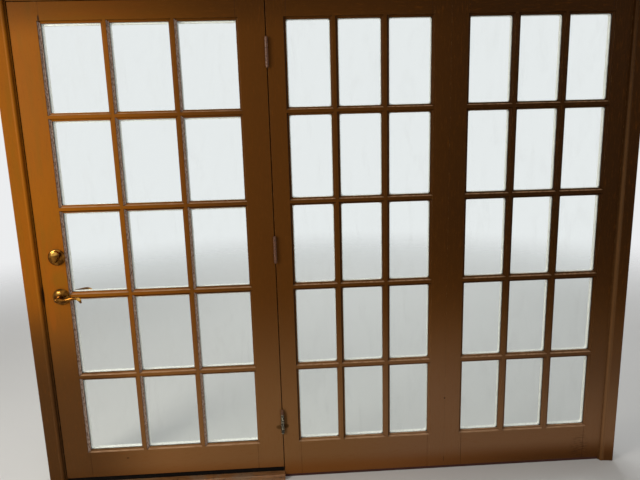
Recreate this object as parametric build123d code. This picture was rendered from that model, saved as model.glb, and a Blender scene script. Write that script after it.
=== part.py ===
from build123d import *
import os

os.makedirs("parts", exist_ok=True)

# A three-panel french door unit in its wooden frame: one hinged, glazed leaf on
# the left and two fixed glazed panels beside it. Each panel has fifteen panes.
# Millimetres. X runs along the wall, Z up from the floor, and Y from the room to
# the outside. The pieces are set out from the room face of the panels, Y = 0, and
# the finished part is moved so that its origin lies under the middle of the frame.

# Leaf and fixed panels
leaf_width = 936.0
leaf_height = 1935.0
fixed_width = 707.0
panel_depth = 44.0
leaf_stile = 110.0
fixed_stile = 75.0
top_rail = 75.0
leaf_bottom_rail = 125.0
edge_gap = 3.0
edge_ease = 1.5
cut_over = 1.0

# Glazing bars, their moulded edge, and what holds the glass
columns = 3
rows = 5
bar_width = 30.5
quirk_depth = 2.0
ovolo_radius = 7.0
fillet_width = 2.0
glass_seat = 16.0
rabbet_width = 9.0
glass_thickness = 4.0
glass_clearance = 1.0
bead_width = 18.0
bead_depth = 22.0
bead_nose = 4.0

# Frame
jamb_thickness = 32.0
jamb_depth = 116.0
sill_thickness = 14.0
sill_front = 4.0
sill_flat_end = 86.0
sill_nose_depth = 34.0
sill_nose_thickness = 7.0
threshold_top = 26.0
threshold_reach = 22.0
threshold_round = 5.0
leaf_clearance = 26.0

# Stops, weatherstrip and battens on the outside of the panels
stop_width = 14.0
stop_depth = 30.0
stop_round = 3.0
seal_width = 8.0
seal_base = 2.0
seal_gap = 6.0
seal_clear = 0.3
astragal_width = 48.0
astragal_depth = 20.0
astragal_lap = 12.0
batten_width = 60.0
batten_depth = 12.0
seal_bite = 0.2
sweep_width = 26.0
sweep_base = 9.0
fin_thickness = 2.5
fin_count = 3
fin_clear = 0.5

# Casing on the room side, brickmould on the outside
casing_width = 58.0
casing_thickness = 17.0
casing_inner_thickness = 12.0
casing_bead = 12.0
casing_bead_rise = 0.5
casing_dip = 0.6
casing_flat = 12.0
casing_round = 4.0
casing_reveal = 5.0
brickmould_width = 50.0
brickmould_depth = 32.0
brickmould_reveal = 10.0
brickmould_cove = 10.0
brickmould_step = 6.0
brickmould_fillet = 4.0
brickmould_ease = 3.0
relief_width = 14.0
relief_depth = 2.0

# Hinges
hinge_length = 105.0
hinge_heights = (218.0, 977.0, 1742.0)
knuckle_radius = 6.5
knuckle_count = 5
knuckle_gap = 0.3
hinge_pin_radius = 3.2
hinge_pin_fit = 0.05
pin_head_radius = 5.2
pin_head_height = 4.0
plate_thickness = 2.2
plate_reach = 34.0

# Countersunk screw holes in the hinge, face and strike plates
screw_radius = 2.3
screw_head_radius = 4.4
hinge_screw_rows = (10.0, 24.0)
hinge_screw_count = 4
hinge_screw_margin = 13.0
plate_screw_margin = 8.0

# Lock and latch
backset = 70.0
lever_height = 815.0
lock_spacing = 164.0
cross_bore_radius = 27.0
latch_case_radius = 12.0
case_length = 44.0
face_plate_height = 57.0
face_plate_width = 25.0
face_plate_thickness = 2.2
face_plate_corner = 4.0
bolt_fit = 0.1
latch_radius = 8.0
latch_throw = 12.0
latch_nose = 4.0
latch_bevel_end = 0.5
latch_length = 30.0
latch_tail_radius = 3.0
latch_tail_length = 13.0
deadbolt_radius = 9.0
deadbolt_throw = 25.0
deadbolt_length = 46.0
deadbolt_ease = 1.5
strike_height = 70.0
strike_width = 32.0
strike_thickness = 2.0
strike_corner = 3.0
strike_clearance = 2.0
pocket_spare = 2.0

# Lever set
rose_radius = 34.0
rose_rim = 4.0
rose_step_radius = 27.0
rose_height = 9.0
rose_collar_radius = 14.0
rose_collar_height = 14.0
neck_radius = 9.5
neck_fit = 0.05
hub_radius = 10.5
lever_tip_radius = 4.6
lever_standoff = 48.0
face_gap = 1.0
rim_ease = 1.0
spindle_size = 8.0
spindle_grip = 14.0

# Deadbolt trim
bolt_plate_radius = 33.0
bolt_plate_height = 8.0
bolt_plate_bevel = 4.0
bolt_plate_lip = 2.0
turn_neck_radius = 6.0
turn_length = 50.0
turn_width = 30.0
turn_tip_width = 13.0
turn_rise = 5.0
turn_height = 21.0
turn_round = 5.0
turn_lift = 3.0
turn_tilt = 14.0
tail_width = 7.0
tail_thickness = 2.5
cylinder_rim = 3.0
cylinder_height = 20.0
cylinder_nose_radius = 22.0
plug_radius = 6.5
key_slot = (8.0, 2.0)
key_slot_depth = 9.0
cam_clear = 4.0

# Places worked out from the sizes above
sight_edge = ovolo_radius + fillet_width
leaf_bottom = threshold_top + leaf_clearance
leaf_top = leaf_bottom + leaf_height
head_under = leaf_top + edge_gap
unit_inside = 2 * edge_gap + leaf_width + 2 * fixed_width
left_face = -unit_inside / 2
right_face = unit_inside / 2
left_back = left_face - jamb_thickness
right_back = right_face + jamb_thickness
head_top = head_under + jamb_thickness
leaf_left = left_face + edge_gap
leaf_right = leaf_left + leaf_width
middle_left = leaf_right + edge_gap
middle_right = middle_left + fixed_width
hinge_x = (leaf_right + middle_left) / 2
fixed_bottom = sill_thickness
fixed_height = head_under - fixed_bottom
fixed_bottom_rail = leaf_bottom + leaf_bottom_rail - fixed_bottom
fixed_top_rail = top_rail + edge_gap
stop_front = panel_depth + seal_gap
lock_x = leaf_left + backset
lever_z = leaf_bottom + lever_height
deadbolt_z = lever_z + lock_spacing
bolt_y = panel_depth / 2


def block(x, y, z):
    """A box between two limits on each axis."""
    size = [limits[1] - limits[0] for limits in (x, y, z)]
    middle = [(limits[1] + limits[0]) / 2 for limits in (x, y, z)]
    return Pos(*middle) * Box(*size)


def rod(radius, start, end, x, z):
    """A round bar along Y, between two depths."""
    return Pos(x, (start + end) / 2, z) * Rot(90, 0, 0) * Cylinder(radius, end - start)


def cross_rod(radius, start, end, y, z):
    """A round bar along X, between two places."""
    return Pos((start + end) / 2, y, z) * Rot(0, 90, 0) * Cylinder(radius, end - start)


def lie_along_x(section, x_end, length):
    """Extrude a section (height, depth) towards -X from x_end."""
    across = Plane(origin=(x_end, 0, 0), x_dir=(0, 0, 1), z_dir=(-1, 0, 0))
    return extrude(across * section, length)


def stand_up(section, z_start, length):
    """Extrude a section (X, Y) upwards from z_start."""
    return extrude(Pos(0, 0, z_start) * section, length)


# The moulded edge round each pane: a square step, a quarter round and a fillet
# on the room side, and the rabbet for the glass on the outside. This is what is
# cut from a square-edged bar whose edge is at 0.
def moulded_edge_cut():
    arc_end = quirk_depth + ovolo_radius
    outline = Polyline(
        (-fillet_width, arc_end), (0, arc_end), (0, -cut_over), (-sight_edge, -cut_over),
        (-sight_edge, quirk_depth),
    )
    ovolo = RadiusArc((-sight_edge, quirk_depth), (-fillet_width, arc_end), ovolo_radius)
    moulding = make_face(outline + ovolo)
    rabbet_end = panel_depth + cut_over
    rabbet = Pos(-rabbet_width / 2, (glass_seat + rabbet_end) / 2) * Rectangle(
        rabbet_width, rabbet_end - glass_seat
    )
    return moulding + rabbet


def corner_ease():
    ease = edge_ease
    return make_face(Polyline((0, 0), (-ease, 0), (0, ease), close=True))


high_cut = moulded_edge_cut()
low_cut = mirror(high_cut, Plane.YZ)
high_ease = corner_ease()
low_ease = mirror(high_ease, Plane.YZ)


def bar_section(low, high, low_edge, high_edge):
    """Section between two limits; each edge is moulded, eased or square."""
    section = Pos((low + high) / 2, panel_depth / 2) * Rectangle(high - low, panel_depth)
    for place, kind, cut, ease in (
        (low, low_edge, low_cut, low_ease),
        (high, high_edge, high_cut, high_ease),
    ):
        if kind == "moulded":
            section -= Pos(place, 0) * cut
        if kind == "eased":
            section -= Pos(place, 0) * ease
            section -= Pos(place, panel_depth) * mirror(ease, Plane.XZ)
    return section


class GlazedPanel:
    """A glazed panel of stiles, coped rails and bars, panes and outside beads."""

    def __init__(self, left, width, bottom, height, stile, upper_rail, lower_rail, edges):
        self.sight_left = left + stile
        self.sight_bottom = bottom + lower_rail
        sight_width = width - 2 * stile
        sight_height = height - upper_rail - lower_rail
        self.pane_width = (sight_width - (columns - 1) * bar_width) / columns
        self.pane_height = (sight_height - (rows - 1) * bar_width) / rows
        sight_right = self.sight_left + sight_width
        sight_top = self.sight_bottom + sight_height

        left_section = bar_section(left, self.sight_left, edges[0], "moulded")
        right_section = bar_section(sight_right, left + width, "moulded", edges[1])
        self.left_stile = stand_up(left_section, bottom, height)
        self.right_stile = stand_up(right_section, bottom, height)

        rail_end = sight_right + rabbet_width
        rail_length = sight_width + 2 * rabbet_width
        stiles = [self.left_stile, self.right_stile]
        upper = bar_section(sight_top, bottom + height, "moulded", "square")
        lower = bar_section(bottom, self.sight_bottom, "square", "moulded")
        self.upper_rail = lie_along_x(upper, rail_end, rail_length) - stiles
        self.lower_rail = lie_along_x(lower, rail_end, rail_length) - stiles

        self.uprights = self.make_uprights(sight_height)
        self.cross_bars = self.make_cross_bars()
        self.panes = self.repeat(self.make_pane())
        self.beads = self.repeat(self.make_bead())

    def repeat(self, piece, count_high=rows):
        """Copies of a first, lower left piece, one in each pane."""
        step_x = self.pane_width + bar_width
        step_z = self.pane_height + bar_width
        return [
            Pos(column * step_x, 0, row * step_z) * piece
            for row in range(count_high)
            for column in range(columns)
        ]

    def make_uprights(self, sight_height):
        start = self.sight_left + self.pane_width
        section = bar_section(start, start + bar_width, "moulded", "moulded")
        length = sight_height + 2 * rabbet_width
        first = stand_up(section, self.sight_bottom - rabbet_width, length)
        first = first - self.upper_rail - self.lower_rail
        step = self.pane_width + bar_width
        return [Pos(index * step, 0, 0) * first for index in range(columns - 1)]

    def make_cross_bars(self):
        low = self.sight_bottom + self.pane_height
        section = bar_section(low, low + bar_width, "moulded", "moulded")
        end = self.sight_left + self.pane_width + rabbet_width
        first = lie_along_x(section, end, self.pane_width + 2 * rabbet_width)
        first = first - self.left_stile - self.uprights[0]
        return self.repeat(first, rows - 1)

    def make_pane(self):
        lap = rabbet_width - glass_clearance
        return block(
            (self.sight_left - lap, self.sight_left + self.pane_width + lap),
            (glass_seat, glass_seat + glass_thickness),
            (self.sight_bottom - lap, self.sight_bottom + self.pane_height + lap),
        )

    def make_bead(self):
        """A mitred bead round one pane, sloped from the glass to its nose."""
        middle_x = self.sight_left + self.pane_width / 2
        middle_z = self.sight_bottom + self.pane_height / 2
        back = glass_seat + glass_thickness
        outer_width = self.pane_width + 2 * rabbet_width
        outer_height = self.pane_height + 2 * rabbet_width
        ring = block(
            (middle_x - outer_width / 2, middle_x + outer_width / 2),
            (back, back + bead_depth),
            (middle_z - outer_height / 2, middle_z + outer_height / 2),
        )
        mouths = []
        for depth, lap in ((back, bead_width), (back + bead_depth, bead_nose)):
            plane = Plane(origin=(middle_x, depth, middle_z), x_dir=(1, 0, 0), z_dir=(0, 1, 0))
            mouths.append(plane * Rectangle(outer_width - 2 * lap, outer_height - 2 * lap))
        return ring - loft(mouths, ruled=True)


leaf = GlazedPanel(
    leaf_left, leaf_width, leaf_bottom, leaf_height,
    leaf_stile, top_rail, leaf_bottom_rail, ("eased", "eased"),
)
middle = GlazedPanel(
    middle_left, fixed_width, fixed_bottom, fixed_height,
    fixed_stile, fixed_top_rail, fixed_bottom_rail, ("eased", "square"),
)
right = GlazedPanel(
    middle_right, fixed_width, fixed_bottom, fixed_height,
    fixed_stile, fixed_top_rail, fixed_bottom_rail, ("square", "square"),
)


def screw_holes(x, facing, thickness, places):
    """Countersunk holes in a plate that faces along X, at (Y, Z) places."""
    hole = CounterSinkHole(screw_radius, screw_head_radius, thickness + cut_over)
    planes = [Plane(origin=(x, y, z), x_dir=(0, 1, 0), z_dir=(facing, 0, 0)) for y, z in places]
    return [plane * hole for plane in planes]


# Butt hinges: a plate let into each edge, knuckles in turn on a loose pin, with
# the barrel standing out on the room side in line with the gap. The screws of a
# plate are staggered in two rows.
hinge_y = -knuckle_radius
knuckle_step = hinge_length / knuckle_count
hinge_screw_step = (hinge_length - 2 * hinge_screw_margin) / (hinge_screw_count - 1)
hinge_screw_places = [
    (hinge_screw_rows[index % 2], -hinge_length / 2 + hinge_screw_margin + index * hinge_screw_step)
    for index in range(hinge_screw_count)
]


def hinge_plate(side):
    """Plate and knuckles of one hinge at height 0; side is -1 leaf, 1 frame."""
    outer = side * edge_gap / 2
    plate_x = sorted((outer, outer + side * plate_thickness))
    half = hinge_length / 2
    plate = block(plate_x, (hinge_y, plate_reach), (-half, half))
    wrap_x = sorted((0, outer + side * plate_thickness))
    knuckles = []
    spaces = []
    for index in range(knuckle_count):
        low = -half + index * knuckle_step
        high = low + knuckle_step
        if (index % 2 == 0) == (side == 1):
            barrel = Cylinder(knuckle_radius, knuckle_step - knuckle_gap)
            body = Pos(0, hinge_y, (low + high) / 2) * barrel
            web = block(wrap_x, (hinge_y, 0), (low + knuckle_gap / 2, high - knuckle_gap / 2))
            knuckles.append(body + web)
        else:
            around = Cylinder(knuckle_radius + knuckle_gap, knuckle_step + knuckle_gap)
            spaces.append(Pos(0, hinge_y, (low + high) / 2) * around)
    bore_radius = hinge_pin_radius + hinge_pin_fit
    bore = Pos(0, hinge_y, 0) * Cylinder(bore_radius, hinge_length + 2 * cut_over)
    holes = screw_holes(outer, -side, plate_thickness, hinge_screw_places)
    return plate - spaces + knuckles - bore - holes


def hinge_pin():
    """Loose pin with a round head above and below the barrel."""
    half = hinge_length / 2
    pin = Cylinder(hinge_pin_radius, hinge_length)
    head = Pos(0, 0, half + pin_head_height / 2) * Cylinder(pin_head_radius, pin_head_height)
    head = fillet(head.edges().sort_by(Axis.Z)[-1], pin_head_height / 2)
    tip = mirror(head, Plane.XY)
    return Pos(0, hinge_y, 0) * (pin + head + tip)


def hinge_mortise(side):
    """Pocket for a plate in the edge of a stile, at height 0."""
    outer = side * edge_gap / 2
    pocket_x = sorted((outer, outer + side * plate_thickness))
    return block(pocket_x, (-cut_over, plate_reach), (-hinge_length / 2, hinge_length / 2))


hinge_places = [Pos(hinge_x, 0, leaf_bottom + height) for height in hinge_heights]
frame_plate = hinge_plate(1)
leaf_plate = hinge_plate(-1)
frame_plates = [place * frame_plate for place in hinge_places]
leaf_plates = [place * leaf_plate for place in hinge_places]
hinge_pins = [place * hinge_pin() for place in hinge_places]
leaf.right_stile -= [place * hinge_mortise(-1) for place in hinge_places]
middle.left_stile -= [place * hinge_mortise(1) for place in hinge_places]


# Tubular latch and deadbolt in the lock stile, and their strikes in the jamb
def rounded_plate(x, height, width, corner, z):
    """A flat plate facing along X with rounded corners, between two X limits."""
    plane = Plane(origin=(x[0], bolt_y, z), x_dir=(0, 1, 0), z_dir=(1, 0, 0))
    return extrude(plane * RectangleRounded(width, height, corner), x[1] - x[0])


def face_plate(start, z):
    """The plate let into the edge of the leaf, from a given X inwards."""
    x = (start, leaf_left + face_plate_thickness)
    return rounded_plate(x, face_plate_height, face_plate_width, face_plate_corner, z)


def plate_screw_places(height, z):
    """Where a lock plate of a given height, centred at z, has its two screws."""
    reach = height / 2 - plate_screw_margin
    return [(bolt_y, z - reach), (bolt_y, z + reach)]


def bolt_case(z, bolt_radius):
    """Face plate on the edge of the leaf with the tube that guides the bolt."""
    places = plate_screw_places(face_plate_height, z)
    holes = screw_holes(leaf_left, -1, face_plate_thickness, places)
    tube_end = leaf_left + case_length
    tube = cross_rod(latch_case_radius, leaf_left + face_plate_thickness, tube_end, bolt_y, z)
    bore = cross_rod(bolt_radius + bolt_fit, leaf_left - cut_over, tube_end + cut_over, bolt_y, z)
    return face_plate(leaf_left, z) - holes + tube - bore


def lock_bores(z):
    """What is bored and cut from the lock stile for one lock."""
    return [
        face_plate(leaf_left - cut_over, z),
        cross_rod(latch_case_radius, leaf_left, lock_x, bolt_y, z),
        rod(cross_bore_radius, -cut_over, panel_depth + cut_over, lock_x, z),
    ]


def latch_bolt():
    """Spring latch: bevelled where it meets the strike as the leaf closes."""
    tip = leaf_left - latch_throw
    shank_end = leaf_left + latch_length
    bolt = cross_rod(latch_radius, tip, shank_end, bolt_y, lever_z)
    slope = make_face(
        Polyline(
            (tip, bolt_y - latch_radius + latch_nose),
            (tip, bolt_y + latch_radius),
            (leaf_left - latch_bevel_end, bolt_y + latch_radius),
            close=True,
        )
    )
    bolt -= extrude(Pos(0, 0, lever_z - latch_radius) * slope, 2 * latch_radius)
    tail = cross_rod(latch_tail_radius, shank_end, shank_end + latch_tail_length, bolt_y, lever_z)
    return bolt + tail


def deadbolt():
    """Round bolt with an eased end, drawn back flush with its face plate."""
    end = leaf_left + deadbolt_length
    bolt = cross_rod(deadbolt_radius, leaf_left, end, bolt_y, deadbolt_z)
    return chamfer(bolt.edges().filter_by(GeomType.CIRCLE).sort_by(Axis.X)[0], deadbolt_ease)


def strike(z, bolt_radius, depth):
    """Strike plate in the jamb, and the pocket that is cut for it."""
    x = (left_face - strike_thickness, left_face)
    plate = rounded_plate(x, strike_height, strike_width, strike_corner, z)
    hole = cross_rod(bolt_radius + strike_clearance, left_face - depth, left_face + cut_over, bolt_y, z)
    places = plate_screw_places(strike_height, z)
    screws = screw_holes(left_face, 1, strike_thickness, places)
    return plate - hole - screws, [plate, hole]


latch_case = bolt_case(lever_z, latch_radius)
deadbolt_case = bolt_case(deadbolt_z, deadbolt_radius)
leaf.left_stile -= lock_bores(lever_z) + lock_bores(deadbolt_z)
latch_strike, latch_pocket = strike(lever_z, latch_radius, latch_throw + pocket_spare)
deadbolt_strike, deadbolt_pocket = strike(
    deadbolt_z, deadbolt_radius, deadbolt_throw + pocket_spare
)


# Lever set. The trim is drawn once for the room side, standing out from a door
# face at 0 towards -Y, and turned over for the outside.
def turned(points):
    """A solid turned round Y from (radius, height) points."""
    outline = Polyline(*[(radius, -height) for radius, height in points], close=True)
    return revolve(make_face(outline), Axis.Y)


def rose():
    """Stepped round rose with a raised collar and the bore for the neck."""
    bore = neck_radius + neck_fit
    dome = (rose_step_radius + rose_collar_radius) / 2
    return turned(
        (
            (bore, 0),
            (rose_radius, 0),
            (rose_radius, rose_rim - rim_ease),
            (rose_radius - rim_ease, rose_rim),
            (rose_step_radius + rim_ease, rose_rim),
            (rose_step_radius, rose_rim + rim_ease),
            (dome, rose_height),
            (rose_collar_radius, rose_height + rim_ease),
            (rose_collar_radius, rose_collar_height - rim_ease),
            (rose_collar_radius - rim_ease, rose_collar_height),
            (bore, rose_collar_height),
        )
    )


# Centre line of the lever's arm, from the spindle: (X, Z, half height, half depth)
lever_stations = (
    (0.0, 0.0, 8.5, 6.5),
    (15.0, -4.0, 8.0, 5.8),
    (32.0, -3.5, 7.2, 5.2),
    (48.0, 1.0, 6.2, 4.8),
    (64.0, 5.5, 5.6, 4.6),
    (78.0, 5.0, 6.0, 4.8),
    (88.0, -2.0, 6.2, 5.0),
    (91.0, -12.0, 4.8, 4.4),
)


def lever():
    """Curved lever on its neck, with the square socket for the spindle."""
    path = Spline(*[(x, -lever_standoff, z) for x, z, _, _ in lever_stations])
    rings = []
    for x, z, half_high, half_deep in lever_stations:
        where = Vector(x, -lever_standoff, z)
        along = path.tangent_at(where)
        plane = Plane(origin=where, x_dir=(0, 1, 0), z_dir=along)
        rings.append(plane * Ellipse(half_deep, half_high))
    arm = loft(rings)
    hub = Pos(0, -lever_standoff, 0) * Sphere(hub_radius)
    neck = rod(neck_radius, -lever_standoff, -face_gap, 0, 0)
    socket = block(
        (-spindle_size / 2, spindle_size / 2),
        (-lever_standoff + spindle_grip, 0),
        (-spindle_size / 2, spindle_size / 2),
    )
    x_end, z_end, _, _ = lever_stations[-1]
    tip = Pos(x_end, -lever_standoff, z_end) * Sphere(lever_tip_radius)
    return arm + hub + neck + tip - socket


def to_outside(piece):
    """The same trim on the outside face, its lever still towards the hinges."""
    return Pos(0, panel_depth, 0) * mirror(piece, Plane.XZ)


at_lever = Pos(lock_x, 0, lever_z)
at_deadbolt = Pos(lock_x, 0, deadbolt_z)
inside_rose = at_lever * rose()
outside_rose = at_lever * to_outside(rose())
inside_lever = at_lever * lever()
outside_lever = at_lever * to_outside(lever())
spindle_end = lever_standoff - spindle_grip
spindle = at_lever * block(
    (-spindle_size / 2, spindle_size / 2),
    (-spindle_end, panel_depth + spindle_end),
    (-spindle_size / 2, spindle_size / 2),
)


# Deadbolt trim: a bevelled plate with a thumb turn in the room, and a key
# cylinder with its plug outside
def bolt_plate():
    bore = turn_neck_radius + neck_fit
    bevel_top = bolt_plate_radius - bolt_plate_bevel
    return turned(
        (
            (bore, 0),
            (bolt_plate_radius, 0),
            (bolt_plate_radius, bolt_plate_height - bolt_plate_bevel),
            (bevel_top, bolt_plate_height - rim_ease),
            (bevel_top - bolt_plate_lip, bolt_plate_height),
            (bore, bolt_plate_height),
        )
    )


def thumb_turn():
    """Egg-shaped turn piece, its big end up, with the flat tail that works the bolt."""
    base = bolt_plate_height + turn_lift
    plane = Plane(origin=(0, -base, 0), x_dir=(0, 0, 1), z_dir=(0, -1, 0))
    big_end = Pos(turn_rise + (turn_length - turn_width) / 2, 0) * Circle(turn_width / 2)
    small_end = Pos(turn_rise - (turn_length - turn_tip_width) / 2, 0) * Circle(turn_tip_width / 2)
    wing = extrude(plane * make_hull(big_end.edges() + small_end.edges()), turn_height)
    wing = fillet(wing.edges().group_by(Axis.Y)[0], turn_round)
    neck = rod(turn_neck_radius, -base - turn_round, -face_gap, 0, 0)
    tail = block(
        (-tail_thickness / 2, tail_thickness / 2),
        (-face_gap, panel_depth - cam_clear),
        (-tail_width / 2, tail_width / 2),
    )
    return Rot(0, turn_tilt, 0) * (wing + neck + tail)


def key_cylinder():
    bore = plug_radius + neck_fit
    return turned(
        (
            (bore, 0),
            (bolt_plate_radius, 0),
            (bolt_plate_radius, cylinder_rim),
            (cylinder_nose_radius, cylinder_height - rim_ease),
            (cylinder_nose_radius - 2 * rim_ease, cylinder_height),
            (bore, cylinder_height),
        )
    )


def key_plug():
    plug = rod(plug_radius, -cylinder_height, 0, 0, 0)
    slot = block(
        (-key_slot[1] / 2, key_slot[1] / 2),
        (-cylinder_height - cut_over, -cylinder_height + key_slot_depth),
        (-key_slot[0] / 2, key_slot[0] / 2),
    )
    return plug - slot


# Jambs, head, sill and the low wooden threshold under the leaf
left_jamb = block((left_back, left_face), (0, jamb_depth), (0, head_under))
left_jamb -= latch_pocket + deadbolt_pocket
right_jamb = block((right_face, right_back), (0, jamb_depth), (0, head_under))
head_jamb = block((left_back, right_back), (0, jamb_depth), (head_under, head_top))


def across_frame(points, start, end):
    """Extrude an outline of (Y, Z) points along X."""
    plane = Plane(origin=(start, 0, 0), x_dir=(0, 1, 0), z_dir=(1, 0, 0))
    return extrude(plane * make_face(Polyline(*points, close=True)), end - start)


sill_end = jamb_depth + sill_nose_depth
sill = across_frame(
    (
        (sill_front, 0),
        (sill_end, 0),
        (sill_end, sill_nose_thickness),
        (sill_flat_end, sill_thickness),
        (sill_front, sill_thickness),
    ),
    left_face,
    right_face,
)
threshold = across_frame(
    (
        (-threshold_reach, 0),
        (sill_front, 0),
        (sill_front, sill_thickness),
        (panel_depth, sill_thickness),
        (panel_depth, threshold_top),
        (-threshold_reach, threshold_top),
    ),
    left_face,
    middle_left,
)
front_edge = threshold.edges().filter_by(Axis.X).group_by(Axis.Y)[0].sort_by(Axis.Z)[-1]
threshold = fillet(front_edge, threshold_round)


# Stops behind the leaf, the astragal on the hinge side, and the strips that
# hold the fixed panels from outside
def eased_box(x, y, z, edges_of):
    """A strip with its outside corner edges rounded."""
    strip = block(x, y, z)
    return fillet(edges_of(strip), stop_round)


def outer_upright(side):
    """Picks the upright edge on the outside face, at low or high X."""
    return lambda strip: strip.edges().filter_by(Axis.Z).group_by(Axis.Y)[-1].sort_by(Axis.X)[side]


def outer_lower(strip):
    return strip.edges().filter_by(Axis.X).group_by(Axis.Y)[-1].sort_by(Axis.Z)[0]


def outer_upper(strip):
    return strip.edges().filter_by(Axis.X).group_by(Axis.Y)[-1].sort_by(Axis.Z)[-1]


stop_end = stop_front + stop_depth
astragal_right = middle_left + astragal_width - astragal_lap - edge_gap
astragal_left = astragal_right - astragal_width
door_side_stop = eased_box(
    (left_face, left_face + stop_width), (stop_front, stop_end), (sill_thickness, head_under), outer_upright(-1)
)
door_head_stop = eased_box(
    (left_face + stop_width, astragal_left),
    (stop_front, stop_end),
    (head_under - stop_width, head_under),
    outer_lower,
)
astragal = block(
    (astragal_left, astragal_right), (panel_depth, panel_depth + astragal_depth), (sill_thickness, head_under)
)
astragal -= block(
    (astragal_left - cut_over, middle_left),
    (panel_depth - cut_over, stop_front),
    (sill_thickness - cut_over, head_under + cut_over),
)
astragal = fillet(astragal.edges().filter_by(Axis.Z).group_by(Axis.Y)[-1], stop_round)
fixed_stop_end = panel_depth + stop_depth
fixed_side_stop = eased_box(
    (right_face - stop_width, right_face),
    (panel_depth, fixed_stop_end),
    (sill_thickness, head_under),
    outer_upright(0),
)
fixed_head_stop = eased_box(
    (astragal_right, right_face - stop_width),
    (panel_depth, fixed_stop_end),
    (head_under - stop_width, head_under),
    outer_lower,
)
fixed_foot_stop = eased_box(
    (astragal_right, right_face - stop_width),
    (panel_depth, fixed_stop_end),
    (sill_thickness, sill_thickness + stop_width),
    outer_upper,
)
seam_batten = block(
    (middle_right - batten_width / 2, middle_right + batten_width / 2),
    (panel_depth, panel_depth + batten_depth),
    (sill_thickness + stop_width, head_under - stop_width),
)
seam_batten = fillet(seam_batten.edges().filter_by(Axis.Z).group_by(Axis.Y)[-1], stop_round)


# Weatherstrip: a flat back with a round bulb that meets the leaf's outside face
def seal_section(centre):
    """Section (across, Y) of the strip, centred across at the given place."""
    bulb = (seal_gap - seal_clear - seal_base + seal_bite) / 2
    back = Pos(centre, stop_front - seal_base / 2) * Rectangle(seal_width, seal_base)
    return back + Pos(centre, panel_depth + seal_clear + bulb) * Circle(bulb)


seal_side_x = left_face + stop_width - seal_width / 2
seal_hinge_x = astragal_left + seal_width / 2
seal_head_z = head_under - stop_width + seal_width / 2
seal_foot = threshold_top + fin_clear
seal_top = head_under
head_seal_start = seal_side_x + seal_width / 2
head_seal_end = seal_hinge_x - seal_width / 2
side_seal = stand_up(seal_section(seal_side_x), seal_foot, seal_top - seal_foot)
hinge_seal = stand_up(seal_section(seal_hinge_x), seal_foot, seal_top - seal_foot)
head_seal = lie_along_x(seal_section(seal_head_z), head_seal_end, head_seal_end - head_seal_start)


# Sweep under the leaf: a base with soft fins that reach down to the threshold
def door_sweep():
    start = (panel_depth - sweep_width) / 2
    x = (leaf_left + edge_gap, leaf_right - edge_gap)
    sweep = block(x, (start, start + sweep_width), (leaf_bottom - sweep_base, leaf_bottom))
    pitch = (sweep_width - fin_thickness) / (fin_count - 1)
    for index in range(fin_count):
        fin_start = start + index * pitch
        sweep += block(
            x, (fin_start, fin_start + fin_thickness), (threshold_top + fin_clear, leaf_bottom - sweep_base)
        )
    return sweep


# Mouldings round the frame. Each has one section, from its inner edge outwards
# and standing away from the frame, and its corners are mitred. A shallow relief
# in the back lies over the joint between the jamb and the wall.
def back_relief(reveal):
    return Pos(jamb_thickness - reveal, relief_depth / 2) * Rectangle(relief_width, relief_depth)


def casing_section():
    bead_end = casing_bead
    outline = Polyline(
        (bead_end, casing_inner_thickness - casing_dip),
        (casing_width - casing_flat, casing_thickness - rim_ease),
        (casing_width - casing_round, casing_thickness),
        (casing_width, casing_thickness - casing_round),
        (casing_width, 0),
        (0, 0),
        (0, casing_inner_thickness - casing_round),
    )
    bead = ThreePointArc(
        (0, casing_inner_thickness - casing_round),
        (bead_end / 2, casing_inner_thickness + casing_bead_rise),
        (bead_end, casing_inner_thickness - casing_dip),
    )
    return make_face(outline + bead) - back_relief(casing_reveal)


def brickmould_section():
    cove = brickmould_cove
    ledge = brickmould_depth - brickmould_step
    ledge_end = cove + brickmould_fillet
    outline = Polyline(
        (cove, ledge),
        (ledge_end, ledge),
        (ledge_end, brickmould_depth),
        (brickmould_width - brickmould_ease, brickmould_depth),
        (brickmould_width, brickmould_depth - brickmould_ease),
        (brickmould_width, 0),
        (0, 0),
        (0, ledge - cove),
    )
    hollow = RadiusArc((0, ledge - cove), (cove, ledge), -cove)
    return make_face(outline + hollow) - back_relief(brickmould_reveal)


def surround(section, inner_left, inner_right, inner_top, width, face, outwards):
    """Left leg, right leg and head of a moulding with mitred corners."""
    reach = width + cut_over
    top = inner_top + width
    flat = section if outwards > 0 else mirror(section, Plane.XZ)
    left_leg = stand_up(Pos(inner_left, face) * mirror(flat, Plane.YZ), 0, top)
    right_leg = stand_up(Pos(inner_right, face) * flat, 0, top)
    length = inner_right - inner_left + 2 * width
    head = lie_along_x(Pos(inner_top, face) * flat, inner_right + width, length)
    left_corner = Pos(inner_left, 0, inner_top)
    right_corner = Pos(inner_right, 0, inner_top)
    above = Polyline((0, 0), (0, reach), (-reach, reach), close=True)
    beside = Polyline((0, 0), (-reach, 0), (-reach, reach), close=True)
    depth = casing_thickness + jamb_depth + brickmould_depth
    leg_cut = extrude(Plane.XZ * make_face(above), depth, both=True)
    head_cut = extrude(Plane.XZ * make_face(beside), depth, both=True)
    left_leg -= left_corner * leg_cut
    right_leg -= right_corner * mirror(leg_cut, Plane.YZ)
    head -= [left_corner * head_cut, right_corner * mirror(head_cut, Plane.YZ)]
    return left_leg, right_leg, head


casing_left, casing_right, casing_head = surround(
    casing_section(),
    left_face - casing_reveal,
    right_face + casing_reveal,
    head_under + casing_reveal,
    casing_width,
    0,
    -1,
)
brickmould = surround(
    brickmould_section(),
    left_face - brickmould_reveal,
    right_face + brickmould_reveal,
    head_under + brickmould_reveal,
    brickmould_width,
    jamb_depth,
    1,
)


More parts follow.
